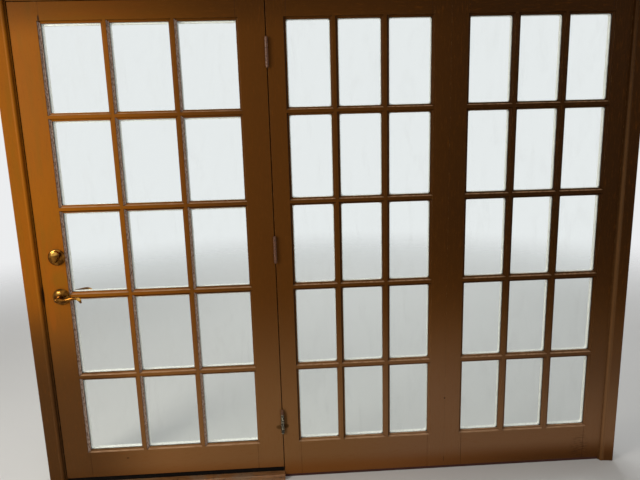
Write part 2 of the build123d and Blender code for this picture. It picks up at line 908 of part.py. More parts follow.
nodes = {
    "left_jamb": left_jamb,
    "right_jamb": right_jamb,
    "head_jamb": head_jamb,
    "sill": sill,
    "threshold": threshold,
    "door_side_stop": door_side_stop,
    "door_head_stop": door_head_stop,
    "astragal": astragal,
    "fixed_side_stop": fixed_side_stop,
    "fixed_head_stop": fixed_head_stop,
    "fixed_foot_stop": fixed_foot_stop,
    "seam_batten": seam_batten,
    "weatherstrips": [side_seal, head_seal, hinge_seal],
    "casing_left": casing_left,
    "casing_right": casing_right,
    "casing_head": casing_head,
    "brickmould": list(brickmould),
    "hinge_plates_frame": frame_plates,
    "hinge_pins": hinge_pins,
    "latch_strike": latch_strike,
    "deadbolt_strike": deadbolt_strike,
    "hinge_plates_leaf": leaf_plates,
    "door_sweep": door_sweep(),
    "latch_case": latch_case,
    "latch_bolt": latch_bolt(),
    "deadbolt_case": deadbolt_case,
    "deadbolt": deadbolt(),
    "rose_inside": inside_rose,
    "rose_outside": outside_rose,
    "lever_inside": inside_lever,
    "lever_outside": outside_lever,
    "lever_spindle": spindle,
    "deadbolt_plate": at_deadbolt * bolt_plate(),
    "thumb_turn": at_deadbolt * thumb_turn(),
    "key_cylinder": at_deadbolt * to_outside(key_cylinder()),
    "key_plug": at_deadbolt * to_outside(key_plug()),
}
for name, panel in (("leaf", leaf), ("middle", middle), ("right", right)):
    nodes[name + "_left_stile"] = panel.left_stile
    nodes[name + "_right_stile"] = panel.right_stile
    nodes[name + "_top_rail"] = panel.upper_rail
    nodes[name + "_bottom_rail"] = panel.lower_rail
    nodes[name + "_panes"] = panel.panes
    nodes[name + "_beads"] = panel.beads
nodes["leaf_upright_bars"] = leaf.uprights
nodes["leaf_cross_bars"] = leaf.cross_bars
nodes["middle_bars"] = middle.uprights + middle.cross_bars
nodes["right_bars"] = right.uprights + right.cross_bars

to_frame_middle = Pos(0, -jamb_depth / 2, 0)
for name, shape in nodes.items():
    pieces = shape if isinstance(shape, list) else [shape]
    solids = [solid for piece in pieces for solid in (to_frame_middle * piece).solids()]
    export_step(Compound(solids), f"parts/{name}.step")
    print(name, len(solids), "solids")
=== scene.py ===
import math

import bmesh
import bpy
from mathutils import Matrix, Vector


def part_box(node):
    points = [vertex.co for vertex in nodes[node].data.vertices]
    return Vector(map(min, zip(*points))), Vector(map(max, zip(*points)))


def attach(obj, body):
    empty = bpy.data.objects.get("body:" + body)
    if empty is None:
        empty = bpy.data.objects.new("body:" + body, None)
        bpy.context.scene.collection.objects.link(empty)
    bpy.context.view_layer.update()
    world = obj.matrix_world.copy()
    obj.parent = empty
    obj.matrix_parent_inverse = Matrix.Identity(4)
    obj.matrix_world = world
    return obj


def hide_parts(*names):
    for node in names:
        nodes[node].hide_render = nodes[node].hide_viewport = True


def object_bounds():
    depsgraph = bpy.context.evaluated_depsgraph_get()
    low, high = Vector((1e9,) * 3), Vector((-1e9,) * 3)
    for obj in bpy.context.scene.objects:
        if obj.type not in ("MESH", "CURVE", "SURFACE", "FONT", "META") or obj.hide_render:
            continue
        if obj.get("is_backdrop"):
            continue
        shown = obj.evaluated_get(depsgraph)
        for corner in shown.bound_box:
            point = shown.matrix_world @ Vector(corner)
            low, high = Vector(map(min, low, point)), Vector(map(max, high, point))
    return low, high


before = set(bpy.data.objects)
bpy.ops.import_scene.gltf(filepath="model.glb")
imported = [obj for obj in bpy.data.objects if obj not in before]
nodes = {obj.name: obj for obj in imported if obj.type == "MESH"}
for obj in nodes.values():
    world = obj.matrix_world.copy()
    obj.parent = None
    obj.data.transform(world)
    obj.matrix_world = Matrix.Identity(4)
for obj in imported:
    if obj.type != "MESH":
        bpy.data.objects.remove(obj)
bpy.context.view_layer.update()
print("frame loaded:", len(nodes), "nodes")

mm = 0.001


def srgb(red, green, blue):
    # a screen colour, 0 to 255, as the linear colour that a shader takes
    def linear(value):
        share = value / 255
        return share / 12.92 if share <= 0.04045 else ((share + 0.055) / 1.055) ** 2.4
    return (linear(red), linear(green), linear(blue), 1.0)


# The three panels and their panes
panelBody = {"leaf": "leaf", "middle": "frame", "right": "frame"}
glazing = {
    "lap": 8 * mm,          # of a pane behind the moulding
    "bar": 30.5 * mm,       # width of a glazing bar
    "rows": 5,
    "columns": 3,
}


def paneGrid(panel):
    # sight width and height of a pane, and the middle of each
    low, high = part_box(panel + "_panes")
    lap, bar = glazing["lap"], glazing["bar"]
    columns, rows = glazing["columns"], glazing["rows"]
    wide = (high.x - low.x - 2 * lap - (columns - 1) * bar) / columns
    tall = (high.z - low.z - 2 * lap - (rows - 1) * bar) / rows
    middles = []
    for row in range(rows):
        for column in range(columns):
            x = low.x + lap + wide / 2 + column * (wide + bar)
            z = low.z + lap + tall / 2 + row * (tall + bar)
            middles.append(Vector((x, 0, z)))
    return wide, tall, middles


# Shader nodes
def addNode(tree, kind, inputs=None, **settings):
    made = tree.nodes.new(kind)
    for name, value in settings.items():
        setattr(made, name, value)
    for name, value in (inputs or {}).items():
        if isinstance(value, bpy.types.NodeSocket):
            tree.links.new(value, made.inputs[name])
        else:
            made.inputs[name].default_value = value
    return made


def objectPoint(tree, stretch=(1, 1, 1)):
    place = {"Vector": addNode(tree, "ShaderNodeTexCoord").outputs["Object"], "Scale": stretch}
    return addNode(tree, "ShaderNodeMapping", place).outputs["Vector"]


def axes(tree, vector):
    return addNode(tree, "ShaderNodeSeparateXYZ", {"Vector": vector}).outputs


def faceNormal(tree):
    return addNode(tree, "ShaderNodeNewGeometry").outputs["Normal"]


def noise(tree, point, scale, detail=3.0, rough=0.5, twist=0.0):
    inputs = {"Vector": point, "Scale": scale, "Detail": detail, "Roughness": rough, "Distortion": twist}
    return addNode(tree, "ShaderNodeTexNoise", inputs).outputs["Fac"]


def ramp(tree, amount, low, high, start=0.0, end=1.0):
    # turns low..high into start..end, smoothly and clamped
    inputs = {"Value": amount, "From Min": low, "From Max": high, "To Min": start, "To Max": end}
    return addNode(tree, "ShaderNodeMapRange", inputs, interpolation_type="SMOOTHSTEP").outputs["Result"]


def maths(tree, operation, first, second=0.0):
    return addNode(tree, "ShaderNodeMath", {0: first, 1: second}, operation=operation).outputs[0]


def times(tree, *amounts):
    # the product of masks and numbers
    product = amounts[0]
    for amount in amounts[1:]:
        product = maths(tree, "MULTIPLY", product, amount)
    return product


def blend(tree, amount, first, second):
    return addNode(tree, "ShaderNodeMix", {0: amount, 6: first, 7: second}, data_type="RGBA").outputs[2]


def facesRoom(tree):
    # 1 on faces turned to the room
    return ramp(tree, axes(tree, faceNormal(tree))["Y"], -0.6, -0.9)


def nooks(tree, reach):
    # 1 in the open, less in corners within the reach
    return addNode(tree, "ShaderNodeAmbientOcclusion", {"Distance": reach}, samples=6).outputs["AO"]


def bump(tree, height, distance, strength=1.0, normal=None):
    inputs = {"Height": height, "Distance": distance, "Strength": strength}
    if normal is not None:
        inputs["Normal"] = normal
    return addNode(tree, "ShaderNodeBump", inputs).outputs["Normal"]


def newMaterial(name):
    material = bpy.data.materials.new(name)
    material.use_nodes = True
    return material, material.node_tree, material.node_tree.nodes["Principled BSDF"]


def plug(tree, shader, **sockets):
    # joins outputs to the shader, or sets its values; an underscore in a name is a space
    for name, value in sockets.items():
        socket = shader.inputs[name.replace("_", " ")]
        if isinstance(value, bpy.types.NodeSocket):
            tree.links.new(value, socket)
        else:
            socket.default_value = value


# Paint, inside and out
paint = {
    "caramel": srgb(156, 90, 14),
    "olive": srgb(138, 90, 18),
    "orange": srgb(156, 82, 18),
    "brown": srgb(88, 50, 12),
    "umber": srgb(49, 26, 4),
    "shadow": srgb(72, 44, 18),
    # dusty tone; also painted light bounced from the floor, and the painted highlight on the right casing
    "dusty": srgb(133, 94, 57),
    "stain": srgb(62, 38, 6),
    # painted reflection of daylight on the leaf's mouldings, pale and dim; the dim one is also painted
    # bounced light
    "reflection": srgb(204, 180, 164),
    "reflectionDim": srgb(122, 92, 76),
    "putty": srgb(150, 126, 98),
    "streak": srgb(116, 64, 16),
    "pale": srgb(172, 114, 52),
    # grime, also used as painted shade under edges, in quirks, gaps and corners
    "grimeAndShade": srgb(46, 26, 12),
    "worn": srgb(188, 140, 86),
    "dust": srgb(192, 152, 116),
    "offWhite": srgb(190, 182, 166),
    "chalk": srgb(224, 219, 206),
    "white": srgb(246, 244, 237),
    "mildew": srgb(96, 88, 74),
    "bareWood": srgb(128, 108, 88),
    "unfaded": srgb(158, 68, 8),    # paint kept from the light in the gaps
    # dark stained room side of the sill, partly painted shade under the fixed panels
    "sill": srgb(56, 18, 5),
    "edge": 1.6 * mm,               # radius within which edges are rubbed
    "corner": 16 * mm,              # reach of the dirt and painted shade in corners
    "crack": 0.5 * mm,              # width of an open joint
    "roughness": 0.46,
    "sheen": 0.05,                  # specular level
}
# how the room side changes across the doors, much of it painted shade and light: the new colour, two x
# and two heights between which it sets in, and how strong it gets
everywhere = (-9, -8)       # set in long before the left end of the doors
changes = (
    # from caramel to brown towards the right: painted shade, darker away from the light at the left
    ("brown", (-1.2, -0.25), (0, 0.01), 1),
    # darker towards the upper right: painted shade
    ("umber", (-0.2, 0.8), (0.45, 1.2), 0.92),
    # lighter and greyer towards the foot: painted light bounced up from the floor, with some dust
    ("dusty", everywhere, (0.9, 0.2), 0.8),
    # a mauve tint low in the middle: painted light bounced up from the floor
    ("reflectionDim", (-0.1, 0.4), (0.75, 0.3), 0.3),
    ("streak", everywhere, (0.11, 0.03), 0.7),
    ("umber", (0.1, 1.1), (0.12, 0.02), 0.65),
    # darker on the right above the foot: painted shade
    ("umber", (0.35, 1.1), (0.12, 0.5), 0.45),
    # painted shade low on the leaf's left side
    ("shadow", (-0.7, -1.08), (0.98, 0.47), 0.83),
    # painted shade low on the left casing
    ("shadow", (-1.17, -1.19), (0.88, 0.66), 0.45),
    # a deeper brown at the top of the leaf's left side: painted shade, held against the lamp's sheen
    ("brown", (-0.9, -1.05), (1.2, 1.8), 0.13),
    # darker just under the head: painted shade
    ("umber", everywhere, (1.84, 1.99), 0.55),
)
# old marks, painted shade and a painted highlight on the room side: x, z, half width, half height, colour,
# strength
marks = (
    (-0.2500, 0.242, 0.016, 0.010, "stain", 0.7),       # stains beside the lowest hinge
    (-0.2240, 0.246, 0.013, 0.010, "stain", 0.9),
    # painted shade down the right side of the lowest hinge's barrel
    (-0.2260, 0.268, 0.009, 0.050, "stain", 0.6),
    (-0.909, 0.134, 0.006, 0.003, "grimeAndShade", 0.7),        # a scuff on the leaf's bottom rail
    (0.4696, 0.339, 0.0036, 0.0034, "grimeAndShade", 0.95),     # a nail by the seam, and a nick at its foot
    (0.4705, 0.046, 0.0012, 0.013, "grimeAndShade", 0.9),
    (-1.067, 1.929, 0.0035, 0.012, "grimeAndShade", 0.9),       # an open joint at the top of the leaf
    (-1.105, 0.94, 0.030, 0.035, "olive", 0.5),         # handled paint between the locks
    (-1.150, 0.78, 0.012, 0.060, "orange", 0.4),
    (-1.177, 0.875, 0.006, 0.042, "grimeAndShade", 0.9),        # painted shade in the gap beside the latch
    (1.189, 0.2, 0.010, 1.5, "dusty", 0.38),            # painted highlight along the rounded inner edge of the right casing
)
# dashes of flaked paint at the foot of the right panel
flaking = {"x": 1.088, "z": 0.050, "halfWide": 0.036, "halfHigh": 0.070, "dash": 60, "strength": 0.45}


def spot(tree, point, x, z, halfWide, halfHigh, edge=0.7):
    # 1 inside an ellipse on the doors' face, with a ragged edge
    scale, shift = (1 / halfWide, 0, 1 / halfHigh), (-x / halfWide, 0, -z / halfHigh)
    place = {"Vector": point, "Scale": scale, "Location": shift}
    centred = addNode(tree, "ShaderNodeMapping", place).outputs["Vector"]
    away = addNode(tree, "ShaderNodeVectorMath", {0: centred}, operation="LENGTH").outputs["Value"]
    wobble = times(tree, noise(tree, point, 240, 5, 0.7), edge)
    return ramp(tree, maths(tree, "ADD", away, wobble), 1 + edge, 0.7 + edge / 3)


def outsideColour(tree, point):
    # chalky off-white paint, mildewed, run with dirt and worn to grey wood in places
    broad = noise(tree, point, 9, 4)
    fine = noise(tree, point, 160, 5, 0.65)
    runs = noise(tree, objectPoint(tree, (9, 9, 0.7)), 7, 5, 0.6)
    flakes = noise(tree, point, 48, 6, 0.7, 0.4)
    colour = blend(tree, ramp(tree, broad, 0.3, 0.7), paint["offWhite"], paint["chalk"])
    colour = blend(tree, ramp(tree, runs, 0.5, 0.72, 0, 0.5), colour, paint["mildew"])
    colour = blend(tree, ramp(tree, fine, 0.56, 0.68, 0, 0.6), colour, paint["mildew"])
    return blend(tree, ramp(tree, flakes, 0.62, 0.65, 0, 0.9), colour, paint["bareWood"])


# Depths and places of the leaf that the painted light and shade of its mouldings follow
stileLow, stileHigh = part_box("leaf_left_stile")
panelFront, panelBack = stileLow.y, stileHigh.y
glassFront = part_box("leaf_panes")[0].y
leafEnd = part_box("leaf_right_stile")[1].x
leafWide, _, leafMiddles = paneGrid("leaf")
leafSight = leafMiddles[0].x - leafWide / 2
leafPitch = leafWide + glazing["bar"]
moulding = {
    "quirk": 2 * mm,        # depth of the quirk behind the panel's face
    "strip": 9.4 * mm,      # width of the strip of painted reflection to the left of each pane
    "soft": 0.2 * mm,       # how far the strip's edge fades to either side
}


def mouldingLightAndShade(tree, colour, point, glass):
    # on the leaf the moulding left of each pane gets a painted reflection of daylight, with painted shade
    # in its quirk; sides, undersides, ledges get painted shade; glass is the depth of the panes' room face
    across, depth, height = axes(tree, point)
    turned = axes(tree, faceNormal(tree))
    sideways, upward = turned["X"], turned["Z"]
    quirkEnd = panelFront + moulding["quirk"]

    def deeper(origin, start, end, most=1.0):
        # sets in between two depths, given in mm behind the origin
        return ramp(tree, depth, origin + start * mm, origin + end * mm, 0, most)

    onLeaf = ramp(tree, across, leafEnd + 1 * mm, leafEnd - 1 * mm)
    place = maths(tree, "FLOORED_MODULO", maths(tree, "SUBTRACT", across, leafSight), leafPitch)
    stripEdge = leafPitch - moulding["strip"]
    beside = ramp(tree, place, stripEdge - moulding["soft"], stripEdge + moulding["soft"])
    level = ramp(tree, maths(tree, "ABSOLUTE", upward), 0.5, 0.2)
    strip = times(tree, onLeaf, beside, level)
    # a mauve-grey, mottled strip left of each pane on the leaf: painted reflection of daylight
    mottle = noise(tree, objectPoint(tree, (3, 3, 1)), 95, 5, 0.7)
    reflection = blend(tree, ramp(tree, mottle, 0.42, 0.6), paint["reflection"], paint["reflectionDim"])
    colour = blend(tree, times(tree, strip, deeper(quirkEnd, 0.3, 0.6, 0.9)), colour, reflection)
    # painted shade in the quirk beside that strip
    quirk = times(tree, deeper(panelFront, 0.2, 0.5), deeper(quirkEnd, 0.6, 0.3, 0.9))
    colour = blend(tree, times(tree, strip, quirk), colour, paint["grimeAndShade"])

    # painted shade on the side faces of the fixed panels' mouldings
    offLeaf = maths(tree, "SUBTRACT", 1.0, onLeaf)
    rightwards = times(tree, ramp(tree, sideways, 0.2, 0.45), deeper(quirkEnd, 0.5, 2, 0.9))
    leftwards = times(tree, ramp(tree, sideways, -0.7, -0.9), deeper(glass, -7.5, -5, 0.7))
    shaded = times(tree, offLeaf, maths(tree, "MAXIMUM", rightwards, leftwards))
    colour = blend(tree, shaded, colour, paint["grimeAndShade"])
    # painted shade on the undersides of the lower mouldings
    below = times(tree, ramp(tree, upward, -0.03, -0.35), ramp(tree, height, 1.45, 1.1, 0, 0.85))
    colour = blend(tree, below, colour, paint["grimeAndShade"])
    # painted shade on the leaf's ledges and along the glass
    ledge = maths(tree, "MAXIMUM", times(tree, ramp(tree, upward, 0.5, 0.8), onLeaf), strip)
    ledge = times(tree, ledge, deeper(glass, -6.5, -4.5, 0.95))
    atGlass = maths(tree, "MAXIMUM", ledge, deeper(glass, -2.5, -1, 0.85))
    return blend(tree, atGlass, colour, paint["grimeAndShade"])


def jointCracks(tree, point, ends):
    # 1 along the open joints at the two x of a rail's ends, wandering a little
    middle, half = (ends[0] + ends[1]) / 2, (ends[1] - ends[0]) / 2
    wander = times(tree, noise(tree, point, 40, 3), paint["crack"])
    away = maths(tree, "ABSOLUTE", maths(tree, "SUBTRACT", axes(tree, point)["X"], middle))
    beside = maths(tree, "ABSOLUTE", maths(tree, "SUBTRACT", maths(tree, "ADD", away, wander), half))
    opened = ramp(tree, noise(tree, point, 15, 3), 0.35, 0.6, 0.35, 1)
    return times(tree, ramp(tree, beside, 2 * paint["crack"], paint["crack"] / 2), opened)


# how the brush marks are stretched along the way of the brush
brushMarks = {"X": (1, 7, 7), "Z": (7, 7, 1), "both": (4, 4, 4)}


def paintedWood(name, grain, split, ends=None, glazed=True):
    # grain is the way of the brush, split the depth where the outside paint starts,
    # ends the two x of a rail's joints with its stiles; glazed pieces hold panes at the split
    material, tree, shader = newMaterial(name)
    point = objectPoint(tree)
    along = objectPoint(tree, brushMarks[grain])
    across, depth, height = axes(tree, point)
    broad = noise(tree, point, 2.6, 3)
    patches = noise(tree, along, 5, 4, 0.6)
    streaks = noise(tree, along, 22, 5, 0.6)
    hairs = noise(tree, along, 90, 4, 0.6)

    colour = blend(tree, ramp(tree, broad, 0.4, 0.65, 0, 0.4), paint["caramel"], paint["orange"])
    colour = blend(tree, ramp(tree, patches, 0.42, 0.7, 0, 0.5), colour, paint["olive"])
    for newColour, sides, heights, most in changes:
        mask = times(tree, ramp(tree, across, *sides), ramp(tree, height, *heights, 0, most))
        colour = blend(tree, mask, colour, paint[newColour])
    colour = blend(tree, ramp(tree, streaks, 0.5, 0.8, 0, 0.35), colour, paint["streak"])
    colour = blend(tree, ramp(tree, hairs, 0.55, 0.8, 0, 0.12), colour, paint["pale"])
    for x, z, halfWide, halfHigh, kind, strength in marks:
        mask = times(tree, spot(tree, point, x, z, halfWide, halfHigh), strength)
        colour = blend(tree, mask, colour, paint[kind])

    # rubbed edges, dust on ledges, painted shade under the head, and dirt with painted shade in corners
    soft = addNode(tree, "ShaderNodeBevel", {"Radius": paint["edge"]}, samples=4).outputs["Normal"]
    plain = faceNormal(tree)
    product = addNode(tree, "ShaderNodeVectorMath", {0: soft, 1: plain}, operation="DOT_PRODUCT")
    facing = product.outputs["Value"]
    rubbed = ramp(tree, noise(tree, point, 34, 4, 0.6), 0.5, 0.64)
    colour = blend(tree, times(tree, ramp(tree, facing, 0.995, 0.93), rubbed, 0.35), colour, paint["worn"])
    upward = axes(tree, plain)["Z"]
    settled = times(tree, ramp(tree, upward, 0.3, 0.8), ramp(tree, streaks, 0.3, 0.6, 0.3, 0.8))
    colour = blend(tree, settled, colour, paint["dust"])
    # painted shade on the undersides near the head
    beneath = times(tree, ramp(tree, upward, -0.5, -0.95), ramp(tree, height, 1.97, 1.985, 0, 0.85))
    colour = blend(tree, beneath, colour, paint["grimeAndShade"])
    # dirt and painted shade in corners, by how near other surfaces are
    dirt = ramp(tree, nooks(tree, paint["corner"]), 0.75, 0.25)
    patchy = ramp(tree, noise(tree, point, 55, 4), 0.3, 0.7, 0.4, 1.0)
    colour = blend(tree, times(tree, dirt, patchy, 0.8), colour, paint["grimeAndShade"])
    specks = ramp(tree, noise(tree, point, 230, 2), 0.72, 0.76, 0, 0.5)
    colour = blend(tree, specks, colour, paint["grimeAndShade"])
    if glazed:
        colour = mouldingLightAndShade(tree, colour, point, split)

    relief = maths(tree, "ADD", times(tree, hairs, 0.8), times(tree, noise(tree, point, 420, 3), 0.35))
    if ends:
        crack = jointCracks(tree, point, ends)
        colour = blend(tree, crack, colour, paint["grimeAndShade"])
        relief = maths(tree, "SUBTRACT", relief, times(tree, crack, 3))
    dashes = noise(tree, objectPoint(tree, (0.8, 1, 4)), flaking["dash"], 3, 0.5)
    foot = spot(tree, point, flaking["x"], flaking["z"], flaking["halfWide"], flaking["halfHigh"], 1.0)
    torn = times(tree, ramp(tree, dashes, 0.46, 0.62, 0, flaking["strength"]), foot)
    colour = blend(tree, torn, colour, paint["grimeAndShade"])
    relief = maths(tree, "SUBTRACT", relief, times(tree, torn, 3))

    ragged = times(tree, noise(tree, point, 70, 4), 3 * mm)
    outside = ramp(tree, maths(tree, "ADD", depth, ragged), split + 1 * mm, split + 2.5 * mm)
    colour = blend(tree, outside, colour, outsideColour(tree, point))
    base = paint["roughness"]
    gloss = ramp(tree, maths(tree, "ADD", broad, hairs), 0.7, 1.3, base - 0.08, base + 0.1)
    gloss = maths(tree, "MAXIMUM", gloss, times(tree, maths(tree, "MAXIMUM", outside, settled), 0.8))
    plug(tree, shader, Base_Color=colour, Roughness=gloss, Specular_IOR_Level=paint["sheen"],
         Normal=bump(tree, relief, 0.25 * mm, 0.6, soft))
    return material


def outsidePaint(name, roomSide):
    # roomSide is the colour of the faces turned to the room, which show in the gaps
    material, tree, shader = newMaterial(name)
    point = objectPoint(tree)
    flakes = noise(tree, point, 48, 6, 0.7, 0.4)
    grains = noise(tree, point, 300, 3)
    dirt = ramp(tree, nooks(tree, 12 * mm), 0.8, 0.3, 0, 0.7)
    colour = blend(tree, dirt, outsideColour(tree, point), paint["mildew"])
    shade = blend(tree, ramp(tree, flakes, 0.45, 0.7, 0, 0.5), roomSide, paint["grimeAndShade"])
    colour = blend(tree, facesRoom(tree), colour, shade)
    height = maths(tree, "ADD", ramp(tree, flakes, 0.62, 0.65, 1, 0), times(tree, grains, 0.3))
    plug(tree, shader, Base_Color=colour, Roughness=0.82, Normal=bump(tree, height, 0.4 * mm, 0.7))
    return material


def beadPaint(name, behind, streaked):
    # white outside, flaking in dark specks; behind and streaked show through the glass
    material, tree, shader = newMaterial(name)
    point = objectPoint(tree)
    flakes = noise(tree, point, 230, 4, 0.65, 0.3)
    streaks = noise(tree, objectPoint(tree, (3, 3, 1)), 60, 4, 0.6)
    outside = blend(tree, ramp(tree, streaks, 0.5, 0.75, 0, 0.7), paint["white"], paint["offWhite"])
    outside = blend(tree, ramp(tree, flakes, 0.58, 0.66, 0, 0.6), outside, paint["mildew"])
    shards = noise(tree, point, 150, 5, 0.7, 0.4)
    inside = blend(tree, ramp(tree, shards, 0.4, 0.62), paint[streaked], paint[behind])
    colour = blend(tree, facesRoom(tree), outside, inside)
    plug(tree, shader, Base_Color=colour, Roughness=0.8, Normal=bump(tree, flakes, 0.5 * mm, 0.6))
    return material


def sealant(name):
    # old white sealant smeared at the edge of the glass
    material, tree, shader = newMaterial(name)
    point = objectPoint(tree)
    dirt = noise(tree, point, 210, 4, 0.65)
    colour = blend(tree, ramp(tree, dirt, 0.54, 0.68, 0, 0.6), paint["white"], paint["dust"])
    plug(tree, shader, Base_Color=colour, Roughness=0.55, Normal=bump(tree, dirt, 0.3 * mm, 0.5))
    return material


# Metal, rubber, wood, glass
metal = {
    "brass": srgb(148, 97, 36),
    # painted highlight, where hands also rub the brass bright
    "rubbedHighlight": srgb(220, 166, 78),
    "tarnish": srgb(48, 24, 8),
    "steel": srgb(150, 148, 144),
    "zinc": srgb(196, 190, 164),
    "rust": srgb(84, 48, 26),
    "brassRoughness": 0.16,
}
# painted highlights on brass that hands also rub bright: the turn's top, the lever's crown and its tip,
# as x, z, half width, half height and strength
rubbedHighlights = (
    (-1.108, 1.052, 0.019, 0.010, 0.9),
    (-1.112, 0.885, 0.010, 0.005, 0.7),
    (-1.020, 0.868, 0.010, 0.007, 0.9),
)


def brass(name):
    material, tree, shader = newMaterial(name)
    point = objectPoint(tree)
    clouds = noise(tree, point, 45, 3, 0.5)
    spots = noise(tree, point, 420, 3)
    colour = blend(tree, ramp(tree, clouds, 0.38, 0.64, 0.15, 0.8), metal["brass"], metal["tarnish"])
    # painted highlights on the turn and the lever
    for x, z, halfWide, halfHigh, strength in rubbedHighlights:
        mask = times(tree, spot(tree, point, x, z, halfWide, halfHigh, 0.3), strength)
        colour = blend(tree, mask, colour, metal["rubbedHighlight"])
    colour = blend(tree, ramp(tree, nooks(tree, 6 * mm), 0.8, 0.3, 0, 0.7), colour, metal["tarnish"])
    colour = blend(tree, ramp(tree, spots, 0.68, 0.74, 0, 0.6), colour, metal["tarnish"])
    base = metal["brassRoughness"]
    gloss = ramp(tree, clouds, 0.35, 0.8, base, base + 0.22)
    scratches = noise(tree, objectPoint(tree, (1, 1, 9)), 700, 2)
    plug(tree, shader, Base_Color=colour, Roughness=gloss, Metallic=1.0,
         Normal=bump(tree, scratches, 0.05 * mm, 0.25))
    return material


def plainSteel(name):
    material, tree, shader = newMaterial(name)
    point = objectPoint(tree)
    stain = noise(tree, point, 120, 4, 0.6)
    colour = blend(tree, ramp(tree, stain, 0.5, 0.72, 0, 0.8), metal["steel"], metal["rust"])
    plug(tree, shader, Base_Color=colour, Roughness=ramp(tree, stain, 0.4, 0.7, 0.3, 0.65), Metallic=1.0)
    return material


hinge = {
    "bareBelow": 0.303,     # hinges under this height have lost their paint
    "ragged": 20 * mm,      # how far the chips carry that height up and down
    "paint": srgb(106, 64, 30),
    "shade": srgb(78, 44, 24),
    "crust": srgb(34, 28, 10),
}


def hingeMetal(name):
    # painted over with the woodwork; the lowest hinge is worn to stained grey metal
    material, tree, shader = newMaterial(name)
    point = objectPoint(tree)
    chips = noise(tree, point, 170, 1, 0.4)
    ragged = maths(tree, "ADD", axes(tree, point)["Z"], times(tree, chips, hinge["ragged"]))
    bareEdge = hinge["bareBelow"] + hinge["ragged"] / 2
    bare = ramp(tree, ragged, bareEdge + 2 * mm, bareEdge - 2 * mm)
    bare = maths(tree, "MAXIMUM", bare, ramp(tree, chips, 0.66, 0.69))
    raw = blend(tree, ramp(tree, chips, 0.4, 0.47), metal["zinc"], hinge["crust"])
    painted = blend(tree, ramp(tree, chips, 0.3, 0.6), hinge["paint"], hinge["shade"])
    shine = times(tree, bare, ramp(tree, chips, 0.48, 0.4, 0, 0.8))
    plug(tree, shader, Base_Color=blend(tree, bare, painted, raw), Metallic=shine,
         Roughness=ramp(tree, chips, 0.3, 0.7, 0.35, 0.7), Normal=bump(tree, chips, 0.3 * mm, 0.6))
    return material


# rubber of the strips round the leaf and of the sweep under it, fresh and dusty
rubberColours = {
    "strips": (srgb(78, 36, 8), srgb(96, 54, 24)),
    "sweep": (srgb(12, 8, 6), srgb(44, 34, 26)),
}


def rubber(name, fresh, dusty):
    material, tree, shader = newMaterial(name)
    point = objectPoint(tree)
    dust = noise(tree, point, 90, 4)
    colour = blend(tree, ramp(tree, dust, 0.5, 0.75, 0, 0.35), fresh, dusty)
    plug(tree, shader, Base_Color=colour, Roughness=0.75, Specular_IOR_Level=0.1,
         Normal=bump(tree, noise(tree, point, 500, 2), 0.1 * mm, 0.5))
    return material


threshold = {
    "dark": srgb(104, 66, 36),
    "light": srgb(146, 100, 58),
    "trodden": srgb(120, 100, 78),
    "stain": srgb(44, 28, 16),
}


def thresholdWood(name):
    material, tree, shader = newMaterial(name)
    point = objectPoint(tree)
    grain = noise(tree, objectPoint(tree, (1, 12, 12)), 14, 6, 0.65, 0.6)
    worn = noise(tree, point, 11, 4)
    stains = noise(tree, point, 130, 4)
    colour = blend(tree, ramp(tree, grain, 0.35, 0.65), threshold["dark"], threshold["light"])
    colour = blend(tree, ramp(tree, worn, 0.5, 0.68, 0, 0.6), colour, threshold["trodden"])
    colour = blend(tree, ramp(tree, stains, 0.62, 0.7, 0, 0.7), colour, threshold["stain"])
    plug(tree, shader, Base_Color=colour, Roughness=ramp(tree, worn, 0.4, 0.7, 0.38, 0.7),
         Normal=bump(tree, grain, 0.3 * mm, 0.6))
    return material


glassLook = {
    "tint": (0.94, 0.975, 0.965, 1.0),
    "shadow": (0.93, 0.95, 0.94, 1.0),
    "dust": srgb(206, 206, 200),
    "roughness": 0.015,
    "bend": 1.25,           # kept low, so that the pale room is hardly mirrored in the panes
    "haze": 0.03,
    "specks": 0.22,
}


def dustyGlass(name):
    # clear panes with a film of dust; lamps shine through them
    material, tree, shader = newMaterial(name)
    plug(tree, shader, Base_Color=glassLook["tint"], Roughness=glassLook["roughness"], IOR=glassLook["bend"],
         Transmission_Weight=1.0)
    point = objectPoint(tree)
    specks = ramp(tree, noise(tree, point, 520, 3, 0.7), 0.6, 0.78, 0, glassLook["specks"])
    smears = ramp(tree, noise(tree, objectPoint(tree, (3, 3, 1)), 6, 5, 0.6, 0.5), 0.45, 0.8, 0.25, 1.4)
    film = times(tree, maths(tree, "ADD", specks, glassLook["haze"]), smears)
    lamp = addNode(tree, "ShaderNodeLightPath").outputs["Is Shadow Ray"]
    clear = addNode(tree, "ShaderNodeBsdfTransparent", {"Color": glassLook["shadow"]})
    letThrough = addNode(tree, "ShaderNodeMixShader", {0: lamp, 1: shader.outputs[0], 2: clear.outputs[0]})
    dust = addNode(tree, "ShaderNodeBsdfDiffuse", {"Color": glassLook["dust"]})
    mixed = addNode(tree, "ShaderNodeMixShader", {0: film, 1: letThrough.outputs[0], 2: dust.outputs[0]})
    tree.links.new(mixed.outputs[0], tree.nodes["Material Output"].inputs["Surface"])
    return material


